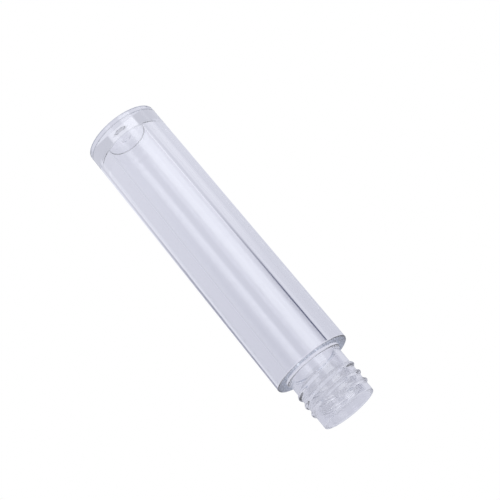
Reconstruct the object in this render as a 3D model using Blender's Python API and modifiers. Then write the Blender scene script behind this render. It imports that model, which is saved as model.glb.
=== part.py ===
"""Clear thick-walled lip gloss tube, open at the neck, in metres with +Z up.

The tube stands on its foot ring at the origin. An inner vial with the threaded neck sits inside a
clear outer jacket, and a wiper insert is seated in the neck, on the slide axis that it pulls out along.
"""

import math

import bpy

MM = 0.001

# Outer jacket
BODY_LENGTH = 65.0 * MM
BASE_RADIUS = 8.22 * MM
SHOULDER_RADIUS = 8.60 * MM
JACKET_EDGE = 0.25 * MM
FOOT_RECESS_RADIUS = 7.30 * MM
FOOT_RECESS_DEPTH = 0.90 * MM
GATE_DIMPLE_RADIUS = 1.20 * MM
GATE_DIMPLE_DEPTH = 0.40 * MM

# Inner vial below the shoulder
VIAL_TOP_RADIUS = 6.60 * MM
VIAL_FOOT_RADIUS = 6.25 * MM
VIAL_FOOT_Z = 2.20 * MM
VIAL_FOOT_EDGE = 0.60 * MM
BORE_FLOOR_Z = 3.00 * MM
BORE_FLOOR_RADIUS = 4.59 * MM
BORE_SHOULDER_RADIUS = 5.19 * MM
BORE_MOUTH_RADIUS = 5.23 * MM
BORE_FLOOR_EDGE = 0.50 * MM

# Neck
NECK_HEIGHT = 11.70 * MM
NECK_RADIUS = 6.12 * MM
NECK_TIP_RADIUS = 6.08 * MM
ROOT_RING_HEIGHT = 0.60 * MM
MOUTH_EDGE = 0.12 * MM
THREAD_PITCH = 2.10 * MM
THREAD_TURNS = 3
THREAD_START_HEIGHT = 3.40 * MM
THREAD_CREST_RADIUS = 6.59 * MM
THREAD_WIRE_RADIUS = 0.50 * MM

# Wiper
WIPER_TOP_RECESS = 1.70 * MM
WIPER_LENGTH = 8.40 * MM
WIPER_RADIUS = 4.72 * MM
WIPER_BEAD_RADIUS = 4.87 * MM
WIPER_BEAD_HALF_WIDTH = 0.40 * MM
WIPER_BEAD_DROPS = (1.10 * MM, 3.30 * MM)
WIPER_SLEEVE_LENGTH = 5.20 * MM
WIPER_WALL = 0.55 * MM
WIPER_ORIFICE_RADIUS = 3.00 * MM
WIPER_LIP = 0.35 * MM

# Fits and fineness
GAP = 0.30 * MM
TURN_STEPS = 64
ARC_STEPS = 4
THREAD_POINTS_PER_TURN = 24
MERGE = 0.00001
SMOOTH_ANGLE = math.radians(35)

MOUTH_Z = BODY_LENGTH + NECK_HEIGHT


def arc(centre_x, centre_z, radius, start, end):
    """Points on a round edge, from the start angle to the end angle in degrees."""
    points = []
    for step in range(ARC_STEPS + 1):
        angle = math.radians(start + (end - start) * step / ARC_STEPS)
        points.append((centre_x + radius * math.cos(angle), centre_z + radius * math.sin(angle)))
    return points


def new_collection(name):
    """An empty collection in the scene."""
    collection = bpy.data.collections.new(name)
    bpy.context.scene.collection.children.link(collection)
    return collection


def plastic(name, colour, roughness, ior):
    """A clear moulded plastic."""
    material = bpy.data.materials.new(name)
    material.use_nodes = True
    shader = material.node_tree.nodes["Principled BSDF"]
    shader.inputs["Base Color"].default_value = (*colour, 1.0)
    shader.inputs["Metallic"].default_value = 0.0
    shader.inputs["Roughness"].default_value = roughness
    shader.inputs["IOR"].default_value = ior
    shader.inputs["Transmission Weight"].default_value = 1.0
    return material


def turned(name, profile, collection, material):
    """A round piece: an (x, z) profile that starts and ends on the axis, or a closed one, turned about Z."""
    closed = profile[0] == profile[-1]
    points = profile[:-1] if closed else profile
    edges = [(i, i + 1) for i in range(len(points) - 1)]
    if closed:
        edges.append((len(points) - 1, 0))
    mesh = bpy.data.meshes.new(name)
    mesh.from_pydata([(x, 0, z) for x, z in points], edges, [])
    piece = bpy.data.objects.new(name, mesh)
    collection.objects.link(piece)
    screw = piece.modifiers.new("turn", "SCREW")
    screw.steps = screw.render_steps = TURN_STEPS
    screw.use_merge_vertices = True
    screw.merge_threshold = MERGE
    screw.use_smooth_shade = True
    piece.data.materials.append(material)
    return piece


def jacket_radius(z):
    """The jacket's outer radius, which grows evenly from the base to the shoulder."""
    return BASE_RADIUS + (SHOULDER_RADIUS - BASE_RADIUS) * z / BODY_LENGTH


def make_outer_jacket(collection):
    """The thick clear body with its foot ring, the gate dimple under it and the pocket for the vial."""
    pocket_floor_z = VIAL_FOOT_Z - GAP
    profile = [
        (0, pocket_floor_z),
        (VIAL_FOOT_RADIUS + GAP, pocket_floor_z),
        (VIAL_TOP_RADIUS + GAP, BODY_LENGTH),
    ]
    top_edge_z = BODY_LENGTH - JACKET_EDGE
    profile += arc(jacket_radius(top_edge_z) - JACKET_EDGE, top_edge_z, JACKET_EDGE, 90, 0)
    profile += arc(jacket_radius(JACKET_EDGE) - JACKET_EDGE, JACKET_EDGE, JACKET_EDGE, 0, -90)
    profile += [
        (FOOT_RECESS_RADIUS, 0),
        (FOOT_RECESS_RADIUS, FOOT_RECESS_DEPTH),
        (GATE_DIMPLE_RADIUS, FOOT_RECESS_DEPTH),
        (GATE_DIMPLE_RADIUS / 2, FOOT_RECESS_DEPTH + GATE_DIMPLE_DEPTH),
        (0, FOOT_RECESS_DEPTH + GATE_DIMPLE_DEPTH),
    ]
    material = plastic("clear_petg_jacket", (0.93, 0.93, 0.97), 0.03, 1.57)
    return turned("outer_jacket", profile, collection, material)


def thread_ridge(collection):
    """The rounded right-handed ridge of the neck thread, half sunk into the neck, as a mesh to join on."""
    curve = bpy.data.curves.new("thread_path", "CURVE")
    curve.dimensions = "3D"
    curve.bevel_depth = THREAD_WIRE_RADIUS
    curve.bevel_resolution = 2
    curve.use_fill_caps = True
    spline = curve.splines.new("POLY")
    count = THREAD_TURNS * THREAD_POINTS_PER_TURN + 1
    spline.points.add(count - 1)
    path_radius = THREAD_CREST_RADIUS - THREAD_WIRE_RADIUS
    for i, point in enumerate(spline.points):
        turn = i / THREAD_POINTS_PER_TURN
        angle = 2 * math.pi * turn - math.pi / 2
        height = BODY_LENGTH + THREAD_START_HEIGHT + THREAD_PITCH * turn
        point.co = (path_radius * math.cos(angle), path_radius * math.sin(angle), height, 1)
    path = bpy.data.objects.new("thread_path", curve)
    collection.objects.link(path)
    bpy.context.view_layer.update()
    evaluated = path.evaluated_get(bpy.context.evaluated_depsgraph_get())
    ridge = bpy.data.objects.new("thread_ridge", bpy.data.meshes.new_from_object(evaluated))
    collection.objects.link(ridge)
    bpy.data.objects.remove(path)
    weld = ridge.modifiers.new("weld_caps", "WELD")
    weld.merge_threshold = MERGE
    ridge.display_type = "WIRE"
    ridge.hide_render = True
    return ridge


def make_inner_vial(collection, cutters):
    """The reservoir and its threaded neck: a straight tapered bore, the root ring and the mouth rim."""
    ring_top_z = BODY_LENGTH + ROOT_RING_HEIGHT
    ring_edge = VIAL_TOP_RADIUS - NECK_RADIUS
    profile = [(0, BORE_FLOOR_Z)]
    profile += arc(
        BORE_FLOOR_RADIUS - BORE_FLOOR_EDGE, BORE_FLOOR_Z + BORE_FLOOR_EDGE, BORE_FLOOR_EDGE, -90, 0
    )
    profile += [
        (BORE_SHOULDER_RADIUS, BODY_LENGTH),
        (BORE_MOUTH_RADIUS, MOUTH_Z - MOUTH_EDGE),
        (BORE_MOUTH_RADIUS + MOUTH_EDGE, MOUTH_Z),
    ]
    profile += arc(NECK_TIP_RADIUS - MOUTH_EDGE, MOUTH_Z - MOUTH_EDGE, MOUTH_EDGE, 90, 0)
    profile += [(NECK_RADIUS, ring_top_z)]
    profile += arc(NECK_RADIUS, ring_top_z - ring_edge, ring_edge, 90, 0)[1:]
    profile += [(VIAL_TOP_RADIUS, BODY_LENGTH)]
    profile += arc(VIAL_FOOT_RADIUS - VIAL_FOOT_EDGE, VIAL_FOOT_Z + VIAL_FOOT_EDGE, VIAL_FOOT_EDGE, 0, -90)
    profile += [(0, VIAL_FOOT_Z)]
    material = plastic("clear_petg_vial", (0.94, 0.94, 0.97), 0.03, 1.57)
    vial = turned("inner_vial", profile, collection, material)
    join = vial.modifiers.new("join_thread", "BOOLEAN")
    join.operation = "UNION"
    join.object = thread_ridge(cutters)
    return vial


def make_wiper(collection):
    """The soft insert in the neck: a sleeve with two sealing beads, and a cone down to the orifice lip."""
    top_z = MOUTH_Z - WIPER_TOP_RECESS
    foot_z = top_z - WIPER_LENGTH
    cone_z = top_z - WIPER_SLEEVE_LENGTH
    inner_radius = WIPER_RADIUS - WIPER_WALL
    profile = [
        (WIPER_ORIFICE_RADIUS, foot_z),
        (WIPER_ORIFICE_RADIUS, foot_z + WIPER_LIP),
        (inner_radius, cone_z),
        (inner_radius, top_z),
        (WIPER_RADIUS, top_z),
    ]
    for drop in WIPER_BEAD_DROPS:
        profile += [
            (WIPER_RADIUS, top_z - drop + WIPER_BEAD_HALF_WIDTH),
            (WIPER_BEAD_RADIUS, top_z - drop),
            (WIPER_RADIUS, top_z - drop - WIPER_BEAD_HALF_WIDTH),
        ]
    profile += [
        (WIPER_RADIUS, cone_z - WIPER_WALL / 2),
        (WIPER_ORIFICE_RADIUS + WIPER_LIP, foot_z),
        (WIPER_ORIFICE_RADIUS, foot_z),
    ]
    rest_z = top_z
    profile = [(x, z - rest_z) for x, z in profile]
    material = plastic("clear_ldpe_wiper", (0.95, 0.95, 0.97), 0.12, 1.51)
    wiper = turned("wiper", profile, collection, material)
    wiper.location = (0, 0, rest_z)
    return wiper


def main():
    for old in list(bpy.data.objects):
        bpy.data.objects.remove(old)
    parts = new_collection("lip_gloss_tube")
    cutters = new_collection("cutters")
    make_outer_jacket(parts)
    make_inner_vial(parts, cutters)
    make_wiper(parts)


main()
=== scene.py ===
"""Looks of the clear lip gloss tube: clear-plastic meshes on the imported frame, studio light and camera."""

import math

import bpy
from mathutils import Matrix, Vector


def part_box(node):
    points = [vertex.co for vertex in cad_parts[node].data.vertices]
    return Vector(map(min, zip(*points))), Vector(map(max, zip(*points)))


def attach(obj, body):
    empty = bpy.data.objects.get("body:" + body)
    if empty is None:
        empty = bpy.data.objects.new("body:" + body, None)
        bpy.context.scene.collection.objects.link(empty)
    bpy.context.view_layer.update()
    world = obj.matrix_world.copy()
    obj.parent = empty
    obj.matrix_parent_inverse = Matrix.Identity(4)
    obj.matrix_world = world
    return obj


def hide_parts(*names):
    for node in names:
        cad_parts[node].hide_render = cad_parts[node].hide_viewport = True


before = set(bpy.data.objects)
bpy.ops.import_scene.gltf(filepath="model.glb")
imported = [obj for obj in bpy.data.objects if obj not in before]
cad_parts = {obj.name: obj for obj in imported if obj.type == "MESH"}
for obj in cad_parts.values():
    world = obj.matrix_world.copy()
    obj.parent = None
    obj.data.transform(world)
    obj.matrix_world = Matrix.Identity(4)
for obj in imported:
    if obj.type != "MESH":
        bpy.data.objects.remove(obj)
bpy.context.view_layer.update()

MM = 0.001

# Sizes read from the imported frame
JACKET_LOW, JACKET_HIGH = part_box("outer_jacket")
VIAL_LOW, VIAL_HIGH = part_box("inner_vial")
WIPER_LOW, WIPER_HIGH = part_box("wiper")
BODY_LENGTH = JACKET_HIGH.z
SHOULDER_RADIUS = JACKET_HIGH.x
MOUTH_Z = VIAL_HIGH.z
VIAL_FOOT_Z = VIAL_LOW.z
WIPER_BEAD_RADIUS = WIPER_HIGH.x

# Sizes that the boxes don't give, as in the CAD model
BASE_RADIUS = 8.22 * MM
EDGE = 0.25 * MM
FOOT_RECESS_RADIUS = 7.30 * MM
FOOT_RECESS_DEPTH = 0.90 * MM
GATE_DIMPLE_RADIUS = 1.20 * MM
GATE_DIMPLE_DEPTH = 0.40 * MM
VIAL_TOP_RADIUS = 6.60 * MM
VIAL_FOOT_RADIUS = 6.25 * MM
VIAL_FOOT_EDGE = 0.60 * MM
BORE_FLOOR_Z = 3.00 * MM
BORE_FLOOR_RADIUS = 4.59 * MM
BORE_FLOOR_EDGE = 0.50 * MM
BORE_SHOULDER_RADIUS = 5.19 * MM
BORE_MOUTH_RADIUS = 5.23 * MM
NECK_RADIUS = 6.12 * MM
NECK_TIP_RADIUS = 6.08 * MM
ROOT_RING_HEIGHT = 0.60 * MM
MOUTH_EDGE = 0.12 * MM
THREAD_PITCH = 2.10 * MM
THREAD_TURNS = 3
THREAD_START_HEIGHT = 3.40 * MM
THREAD_DEPTH = 0.46 * MM
THREAD_HALF_WIDTH = 0.62 * MM
THREAD_START_FADE = 10 / 360
THREAD_END_FADE = 30 / 360
WIPER_RADIUS = 4.72 * MM
WIPER_WALL = 0.55 * MM
WIPER_BEAD_HALF_WIDTH = 0.40 * MM
WIPER_BEAD_DROPS = (1.10 * MM, 3.30 * MM)
WIPER_SLEEVE_LENGTH = 5.20 * MM
WIPER_ORIFICE_RADIUS = 3.00 * MM
WIPER_LIP = 0.35 * MM

# Fineness
SEGMENTS = 320
ARC_STEPS = 8
RIM_STEPS = 4
NECK_ROW = 0.06 * MM
SMOOTH_ANGLE = math.radians(40)
LONG_WALL = 0.50 * MM
GUARD = 0.04 * MM

# Material slots: the plastic itself, the bonded joint, and the jacket's flat shoulder, whose dark tint is
# painted shade
PLASTIC, BOND, LAND = 0, 1, 2

# Plastics: tint, index of refraction, smoothest and roughest haze, and depth of the waves
PETG_TINT = (0.985, 0.986, 0.996)
PETG_IOR = 1.57
PETG_HAZE = (0.010, 0.035)
JACKET_WAVE = 0.006 * MM
VIAL_WAVE = 0.004 * MM
# Painted shade: the flat shoulder's dark blue-grey tint stands in for the shade seen in the clear shoulder
# face
LAND_PAINTED_SHADE = (0.42, 0.47, 0.56)
LAND_HAZE = (0.06, 0.12)
LAND_WAVE = 0.002 * MM
WIPER_TINT = (0.985, 0.985, 1.0)
WIPER_IOR = 1.51
WIPER_HAZE = (0.30, 0.40)
WIPER_WAVE = 0.004 * MM
WIPER_ALPHA = 0.10

# Noise in the plastics: its stretch along the axis, and the scale and detail of each use
FLOW_STRETCH = (1, 1, 0.35)
CLOUDS = (160, 3)
CLOUD_SHADE = 0.992
HAZE = (1400, 4)
HAZE_SPAN = (0.35, 0.75)
WAVES = (260, 1)


# ---------------------------------------------------------------- meshes

def arc(centre_x, centre_z, radius, start, end, steps=ARC_STEPS):
    """Points on a round edge, from the start angle to the end angle in degrees."""
    points = []
    for step in range(steps + 1):
        angle = math.radians(start + (end - start) * step / steps)
        points.append((centre_x + radius * math.cos(angle), centre_z + radius * math.sin(angle)))
    return points


def guarded(stations):
    """The stations with a ring close to each end of every long wall, so that its shading stays straight."""
    result = []
    for here, there in zip(stations, stations[1:]):
        result.append(here)
        if callable(here[0]) or callable(there[0]):
            continue
        start, end = Vector(here[:2]), Vector(there[:2])
        length = (end - start).length
        if length > LONG_WALL:
            step = (end - start) * GUARD / length
            result += [(*(start + step), here[2]), (*(end - step), here[2])]
    result.append(stations[-1])
    return result


def turned(name, stations, materials):
    """A closed round mesh. A station is (radius, z, material slot); a radius may be a function of the angle.

    The stations run down the outer side, so that the faces point out.
    """
    stations = guarded(stations)
    vertices, rings = [], []
    for radius, z, _ in stations:
        if not callable(radius) and radius == 0:
            rings.append([len(vertices)])
            vertices.append((0, 0, z))
            continue
        first = len(vertices)
        for step in range(SEGMENTS):
            angle = 2 * math.pi * step / SEGMENTS
            r = radius(angle) if callable(radius) else radius
            vertices.append((r * math.cos(angle), r * math.sin(angle), z))
        rings.append(list(range(first, first + SEGMENTS)))
    faces, slots = [], []
    for (upper, lower), station in zip(zip(rings, rings[1:] + rings[:1]), stations):
        if len(upper) == 1 and len(lower) == 1:
            continue
        for i in range(SEGMENTS):
            j = (i + 1) % SEGMENTS
            if len(upper) == 1:
                faces.append((upper[0], lower[i], lower[j]))
            elif len(lower) == 1:
                faces.append((upper[i], lower[0], upper[j]))
            else:
                faces.append((upper[i], lower[i], lower[j], upper[j]))
            slots.append(station[2])
    mesh = bpy.data.meshes.new(name)
    mesh.from_pydata(vertices, [], faces)
    for material in materials:
        mesh.materials.append(material)
    mesh.polygons.foreach_set("material_index", slots)
    mesh.shade_smooth()
    mesh.set_sharp_from_angle(angle=SMOOTH_ANGLE)
    piece = bpy.data.objects.new(name, mesh)
    bpy.context.scene.collection.objects.link(piece)
    return piece


def stations_of(points, slot=PLASTIC):
    """Stations of one material slot from (x, z) points."""
    return [(x, z, slot) for x, z in points]


def bond_line():
    """The joint between the two clear shots, from the shoulder plane down to the axis under the vial."""
    edge = VIAL_FOOT_EDGE
    foot = arc(VIAL_FOOT_RADIUS - edge, VIAL_FOOT_Z + edge, edge, 0, -90)
    return [(VIAL_TOP_RADIUS, BODY_LENGTH), *foot, (0, VIAL_FOOT_Z)]


def jacket_radius(z):
    """The jacket's outer radius, which grows evenly from the base to the shoulder."""
    return BASE_RADIUS + (SHOULDER_RADIUS - BASE_RADIUS) * z / BODY_LENGTH


def jacket_stations():
    """The jacket: the bonded pocket, the flat shoulder, the outer wall, the foot ring and the gate dimple."""
    pocket = stations_of(bond_line()[:0:-1], BOND)
    # The flat shoulder takes the slot whose dark tint is painted shade
    shoulder = [(VIAL_TOP_RADIUS, BODY_LENGTH, LAND)]
    top = BODY_LENGTH - EDGE
    points = arc(jacket_radius(top) - EDGE, top, EDGE, 90, 0)
    points += arc(jacket_radius(EDGE) - EDGE, EDGE, EDGE, 0, -90)
    points += arc(FOOT_RECESS_RADIUS + EDGE / 2, EDGE / 2, EDGE / 2, 270, 180)
    points += arc(FOOT_RECESS_RADIUS - EDGE, FOOT_RECESS_DEPTH - EDGE, EDGE, 0, 90)
    dimple_top = FOOT_RECESS_DEPTH + GATE_DIMPLE_DEPTH
    points += [
        (GATE_DIMPLE_RADIUS, FOOT_RECESS_DEPTH),
        (GATE_DIMPLE_RADIUS / 2, dimple_top),
        (0, dimple_top),
    ]
    return pocket + shoulder + stations_of(points)


def thread_lift(angle, z):
    """How far the thread stands out of the neck at this angle and height."""
    turn = (angle + math.pi / 2) / (2 * math.pi) % 1
    start = BODY_LENGTH + THREAD_START_HEIGHT
    lift = 0.0
    for lap in range(THREAD_TURNS):
        along = turn + lap
        off = abs(z - start - THREAD_PITCH * along) / THREAD_HALF_WIDTH
        if off >= 1:
            continue
        fade = min(1.0, along / THREAD_START_FADE, (THREAD_TURNS - along) / THREAD_END_FADE)
        fade = math.sin(math.pi / 2 * fade)
        lift = max(lift, THREAD_DEPTH * fade * (1 - off * off) ** 1.5)
    return lift


def neck_stations():
    """The neck's outside from the tip down to the root ring, with the thread."""
    rows = []
    top = MOUTH_Z - MOUTH_EDGE
    bottom = BODY_LENGTH + ROOT_RING_HEIGHT
    count = round((top - bottom) / NECK_ROW)
    for row in range(1, count + 1):
        z = top + (bottom - top) * row / count
        plain = NECK_TIP_RADIUS + (NECK_RADIUS - NECK_TIP_RADIUS) * row / count
        rows.append((lambda angle, z=z, plain=plain: plain + thread_lift(angle, z), z, PLASTIC))
    return rows


def vial_stations():
    """The vial: the bore, the mouth rim, the threaded neck, the root ring and the bonded outside."""
    bore = [(0, BORE_FLOOR_Z)]
    edge = BORE_FLOOR_EDGE
    bore += arc(BORE_FLOOR_RADIUS - edge, BORE_FLOOR_Z + edge, edge, -90, 0)
    bore.append((BORE_SHOULDER_RADIUS, BODY_LENGTH))
    edge = MOUTH_EDGE
    rim = arc(BORE_MOUTH_RADIUS + edge, MOUTH_Z - edge, edge, 180, 90, RIM_STEPS)
    rim += arc(NECK_TIP_RADIUS - edge, MOUTH_Z - edge, edge, 90, 0, RIM_STEPS)
    edge = VIAL_TOP_RADIUS - NECK_RADIUS
    ring = arc(NECK_RADIUS, BODY_LENGTH + ROOT_RING_HEIGHT - edge, edge, 90, 0)[1:]
    stations = stations_of(bore + rim) + neck_stations() + stations_of(ring)
    return stations + stations_of(bond_line(), BOND)


def wiper_stations():
    """The wiper: orifice lip, inner cone and sleeve, and two rounded sealing beads outside."""
    top, foot = WIPER_HIGH.z, WIPER_LOW.z
    cone = top - WIPER_SLEEVE_LENGTH
    inner = WIPER_RADIUS - WIPER_WALL
    points = [
        (WIPER_ORIFICE_RADIUS, foot),
        (WIPER_ORIFICE_RADIUS, foot + WIPER_LIP),
        (inner, cone),
        (inner, top),
        (WIPER_RADIUS, top),
    ]
    for drop in WIPER_BEAD_DROPS:
        for step in range(-ARC_STEPS, ARC_STEPS + 1):
            swell = math.cos(math.pi / 2 * step / ARC_STEPS) ** 2
            z = top - drop - WIPER_BEAD_HALF_WIDTH * step / ARC_STEPS
            points.append((WIPER_RADIUS + (WIPER_BEAD_RADIUS - WIPER_RADIUS) * swell, z))
    points += [(WIPER_RADIUS, cone - WIPER_WALL / 2), (WIPER_ORIFICE_RADIUS + WIPER_LIP, foot)]
    return stations_of(points)


# ---------------------------------------------------------------- materials

def noise(tree, vector, scale_and_detail):
    """A noise texture over the vector; gives its value from 0 to 1."""
    node = tree.nodes.new("ShaderNodeTexNoise")
    node.inputs["Scale"].default_value, node.inputs["Detail"].default_value = scale_and_detail
    tree.links.new(vector, node.inputs["Vector"])
    return node.outputs["Fac"]


def moulded_plastic(name, tint, ior, haze, wave_depth, clear=1.0, alpha=1.0):
    """Moulded plastic: faint flow clouds in the tint, handling haze, and the mould's slow waviness."""
    material = bpy.data.materials.new(name)
    material.use_nodes = True
    tree = material.node_tree
    shader = tree.nodes["Principled BSDF"]
    shader.inputs["IOR"].default_value = ior
    shader.inputs["Transmission Weight"].default_value = clear
    shader.inputs["Alpha"].default_value = alpha

    place = tree.nodes.new("ShaderNodeTexCoord").outputs["Object"]
    flow = tree.nodes.new("ShaderNodeMapping")
    flow.inputs["Scale"].default_value = FLOW_STRETCH
    tree.links.new(place, flow.inputs["Vector"])

    colours = tree.nodes.new("ShaderNodeValToRGB")
    colours.color_ramp.elements[0].color = (*(c * CLOUD_SHADE for c in tint), 1)
    colours.color_ramp.elements[1].color = (*tint, 1)
    tree.links.new(noise(tree, flow.outputs["Vector"], CLOUDS), colours.inputs["Fac"])
    tree.links.new(colours.outputs["Color"], shader.inputs["Base Color"])

    rough = tree.nodes.new("ShaderNodeMapRange")
    for end, fac, level in zip(("Min", "Max"), HAZE_SPAN, haze):
        rough.inputs["From " + end].default_value = fac
        rough.inputs["To " + end].default_value = level
    tree.links.new(noise(tree, place, HAZE), rough.inputs["Value"])
    tree.links.new(rough.outputs["Result"], shader.inputs["Roughness"])

    bump = tree.nodes.new("ShaderNodeBump")
    bump.inputs["Strength"].default_value = 1.0
    bump.inputs["Distance"].default_value = wave_depth
    tree.links.new(noise(tree, flow.outputs["Vector"], WAVES), bump.inputs["Height"])
    tree.links.new(bump.outputs["Normal"], shader.inputs["Normal"])
    return material


def bonded_joint():
    """The joint between two clear shots of the same plastic, which bends and reflects no light."""
    material = bpy.data.materials.new("bonded_joint")
    material.use_nodes = True
    material.node_tree.nodes["Principled BSDF"].inputs["Alpha"].default_value = 0.0
    return material


# ---------------------------------------------------------------- pieces

def make_pieces():
    """The three visible pieces, each standing for its CAD node."""
    bond = bonded_joint()
    body = moulded_plastic("jacket_petg", PETG_TINT, PETG_IOR, PETG_HAZE, JACKET_WAVE)
    # The flat shoulder's material is clear PETG darkened with painted shade
    shaded_land = moulded_plastic("jacket_land_painted_shade", LAND_PAINTED_SHADE, PETG_IOR, LAND_HAZE, LAND_WAVE)
    jacket = turned("jacket_clear_body", jacket_stations(), [body, bond, shaded_land])
    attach(jacket, "tube")
    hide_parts("outer_jacket")

    petg = moulded_plastic("vial_petg", PETG_TINT, PETG_IOR, PETG_HAZE, VIAL_WAVE)
    vial = turned("vial_with_threaded_neck", vial_stations(), [petg, bond])
    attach(vial, "tube")
    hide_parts("inner_vial")

    # The soft insert is milky and thin, so that it only veils the neck's far wall
    milky = moulded_plastic(
        "wiper_ldpe", WIPER_TINT, WIPER_IOR, WIPER_HAZE, WIPER_WAVE, clear=0.0, alpha=WIPER_ALPHA
    )
    wiper = turned("wiper_insert_soft", wiper_stations(), [milky])
    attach(wiper, "wiper_insert")
    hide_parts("wiper")


# ---------------------------------------------------------------- studio

FLOOR_SIZE = 12.0
FLOOR_DROP = 0.10 * MM
# Room light by height (the sine of the elevation)
ROOM_COLOURS = (
    (-0.42, (0.69, 0.70, 0.79)),
    (-0.24, (0.61, 0.62, 0.71)),
    (0.10, (0.55, 0.56, 0.64)),
    (0.35, (0.58, 0.59, 0.67)),
    (1.00, (0.60, 0.61, 0.66)),
)
# Soft patches of the room, in degrees: azimuth from the far side towards -X, half width, elevation,
# half height and edge; and the light added
ROOM_PATCHES = (
    # Behind the tube: a dim card that the shoulder mirrors, a light one for the base and a faint glow
    (-14.0, 8.0, 13.0, 3.0, 3.0, (-0.30, -0.29, -0.27)),
    (-4.0, 19.0, 36.0, 18.0, 3.0, (0.22, 0.22, 0.23)),
    (38.0, 30.0, -20.0, 14.0, 12.0, (0.07, 0.07, 0.07)),
    # Beside the tube: the dark card that draws the bore's edge, a light gap under it and a faint shade
    (80.5, 12.0, -10.5, 9.0, 6.0, (-0.60, -0.60, -0.62)),
    (85.5, 6.5, -22.5, 3.5, 3.0, (0.42, 0.42, 0.42)),
    (67.0, 4.5, -21.0, 4.0, 4.0, (-0.08, -0.08, -0.08)),
    # Either side of the camera: the two soft boxes that give the body its light bands
    (142.0, 18.0, -19.0, 15.0, 9.0, (2.1, 2.15, 2.2)),
    (-158.0, 9.0, -19.0, 15.0, 6.0, (0.80, 0.80, 0.85)),
)


def math_node(tree, operation, *values):
    """A Math node whose inputs are sockets or numbers; gives its output."""
    node = tree.nodes.new("ShaderNodeMath")
    node.operation = operation
    for socket, value in zip(node.inputs, values):
        if isinstance(value, (int, float)):
            socket.default_value = value
        else:
            tree.links.new(value, socket)
    return node.outputs[0]


def soft_gate(tree, angle, centre, half, edge):
    """1 where the angle is within half of the centre, falling softly to 0 over the edge."""
    off = math_node(tree, "ABSOLUTE", math_node(tree, "SUBTRACT", angle, math.radians(centre)))
    gate = tree.nodes.new("ShaderNodeMapRange")
    gate.interpolation_type = "SMOOTHSTEP"
    gate.inputs["From Min"].default_value = math.radians(half + edge / 2)
    gate.inputs["From Max"].default_value = math.radians(half - edge / 2)
    tree.links.new(off, gate.inputs["Value"])
    return gate.outputs["Result"]


def make_room():
    """A pale studio: white behind the tube, and the soft lavender room that shows through it."""
    world = bpy.data.worlds.new("studio")
    bpy.context.scene.world = world
    world.use_nodes = True
    tree = world.node_tree
    tree.nodes.clear()
    place = tree.nodes.new("ShaderNodeTexCoord")
    split = tree.nodes.new("ShaderNodeSeparateXYZ")
    tree.links.new(place.outputs["Generated"], split.inputs["Vector"])
    x, y, z = split.outputs
    azimuth = math_node(tree, "ARCTAN2", math_node(tree, "MULTIPLY", x, -1.0), y)
    elevation = math_node(tree, "ARCSINE", z)

    ramp = tree.nodes.new("ShaderNodeValToRGB")
    tree.links.new(math_node(tree, "MULTIPLY_ADD", z, 0.5, 0.5), ramp.inputs["Fac"])
    stops = ramp.color_ramp.elements
    while len(stops) < len(ROOM_COLOURS):
        stops.new(0.5)
    for stop, (level, colour) in zip(stops, ROOM_COLOURS):
        stop.position = 0.5 + 0.5 * level
        stop.color = (*colour, 1)
    light = ramp.outputs["Color"]
    for centre, half, rise, half_rise, edge, colour in ROOM_PATCHES:
        across = soft_gate(tree, azimuth, centre, half, edge)
        up = soft_gate(tree, elevation, rise, half_rise, edge)
        patch = tree.nodes.new("ShaderNodeVectorMath")
        patch.operation = "SCALE"
        patch.inputs[0].default_value = colour
        tree.links.new(math_node(tree, "MULTIPLY", across, up), patch.inputs["Scale"])
        add = tree.nodes.new("ShaderNodeVectorMath")
        add.operation = "ADD"
        tree.links.new(light, add.inputs[0])
        tree.links.new(patch.outputs["Vector"], add.inputs[1])
        light = add.outputs["Vector"]

    room = tree.nodes.new("ShaderNodeBackground")
    tree.links.new(light, room.inputs["Color"])
    white = tree.nodes.new("ShaderNodeBackground")
    white.inputs["Color"].default_value = (1, 1, 1, 1)
    path = tree.nodes.new("ShaderNodeLightPath")
    mix = tree.nodes.new("ShaderNodeMixShader")
    tree.links.new(path.outputs["Is Camera Ray"], mix.inputs["Fac"])
    tree.links.new(room.outputs[0], mix.inputs[1])
    tree.links.new(white.outputs[0], mix.inputs[2])
    out = tree.nodes.new("ShaderNodeOutputWorld")
    tree.links.new(mix.outputs[0], out.inputs["Surface"])


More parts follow.
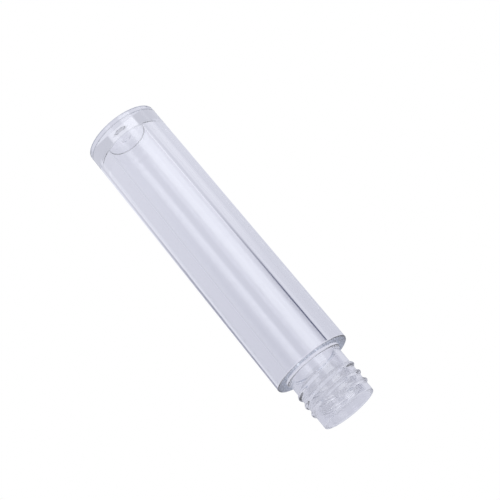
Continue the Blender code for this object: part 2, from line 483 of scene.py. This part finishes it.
def make_floor():
    """A plain white floor, lit from below like a light table, so that the clear tube throws no dark patch."""
    mesh = bpy.data.meshes.new("floor")
    half = FLOOR_SIZE / 2
    corners = [(-half, -half, 0), (half, -half, 0), (half, half, 0), (-half, half, 0)]
    mesh.from_pydata(corners, [], [(0, 1, 2, 3)])
    floor = bpy.data.objects.new("floor", mesh)
    floor.location = (0, 0, JACKET_LOW.z - FLOOR_DROP)
    bpy.context.scene.collection.objects.link(floor)
    material = bpy.data.materials.new("light_table")
    material.use_nodes = True
    shader = material.node_tree.nodes["Principled BSDF"]
    shader.inputs["Base Color"].default_value = (0, 0, 0, 1)
    shader.inputs["Roughness"].default_value = 1.0
    shader.inputs["Specular IOR Level"].default_value = 0.0
    shader.inputs["Emission Color"].default_value = (1, 1, 1, 1)
    shader.inputs["Emission Strength"].default_value = 1.0
    mesh.materials.append(material)
    floor.visible_diffuse = False
    floor.visible_glossy = False
    floor.visible_transmission = False
    floor.visible_shadow = False


# ---------------------------------------------------------------- camera

CAMERA_PLACE = Vector((0, -332.2 * MM, 149.2 * MM))
CAMERA_AIM = Vector((-5.0 * MM, 0, 38.16 * MM))
CAMERA_ROLL = math.radians(140.24)
CAMERA_LENS = 123.9
CAMERA_CLIP_START = 0.01


def make_camera():
    """The camera looks down on the mouth side, and is rolled so that the tube lies across the frame."""
    camera = bpy.data.objects.new("camera", bpy.data.cameras.new("camera"))
    bpy.context.scene.collection.objects.link(camera)
    camera.data.lens = CAMERA_LENS
    camera.data.clip_start = CAMERA_CLIP_START
    look = (CAMERA_AIM - CAMERA_PLACE).to_track_quat("-Z", "Y").to_matrix().to_4x4()
    roll = Matrix.Rotation(CAMERA_ROLL, 4, "Z")
    camera.matrix_world = Matrix.Translation(CAMERA_PLACE) @ look @ roll
    bpy.context.scene.camera = camera


# ---------------------------------------------------------------- light paths

WALL_BOUNCES = 32
# Calms the speckle of the soft boxes where they are seen through several walls
BRIGHTEST_BOUNCE = 1.4


def set_light_paths():
    """Enough bounces for light to work its way through the thick clear walls."""
    scene = bpy.context.scene
    scene.view_settings.view_transform = "Standard"
    scene.cycles.use_denoising = True
    scene.cycles.use_adaptive_sampling = False
    scene.cycles.sample_clamp_indirect = BRIGHTEST_BOUNCE
    scene.cycles.max_bounces = WALL_BOUNCES
    scene.cycles.transmission_bounces = WALL_BOUNCES
    scene.cycles.glossy_bounces = WALL_BOUNCES
    scene.cycles.transparent_max_bounces = 2 * WALL_BOUNCES
    scene.cycles.caustics_reflective = True
    scene.cycles.caustics_refractive = True


make_pieces()
make_room()
make_floor()
make_camera()
set_light_paths()
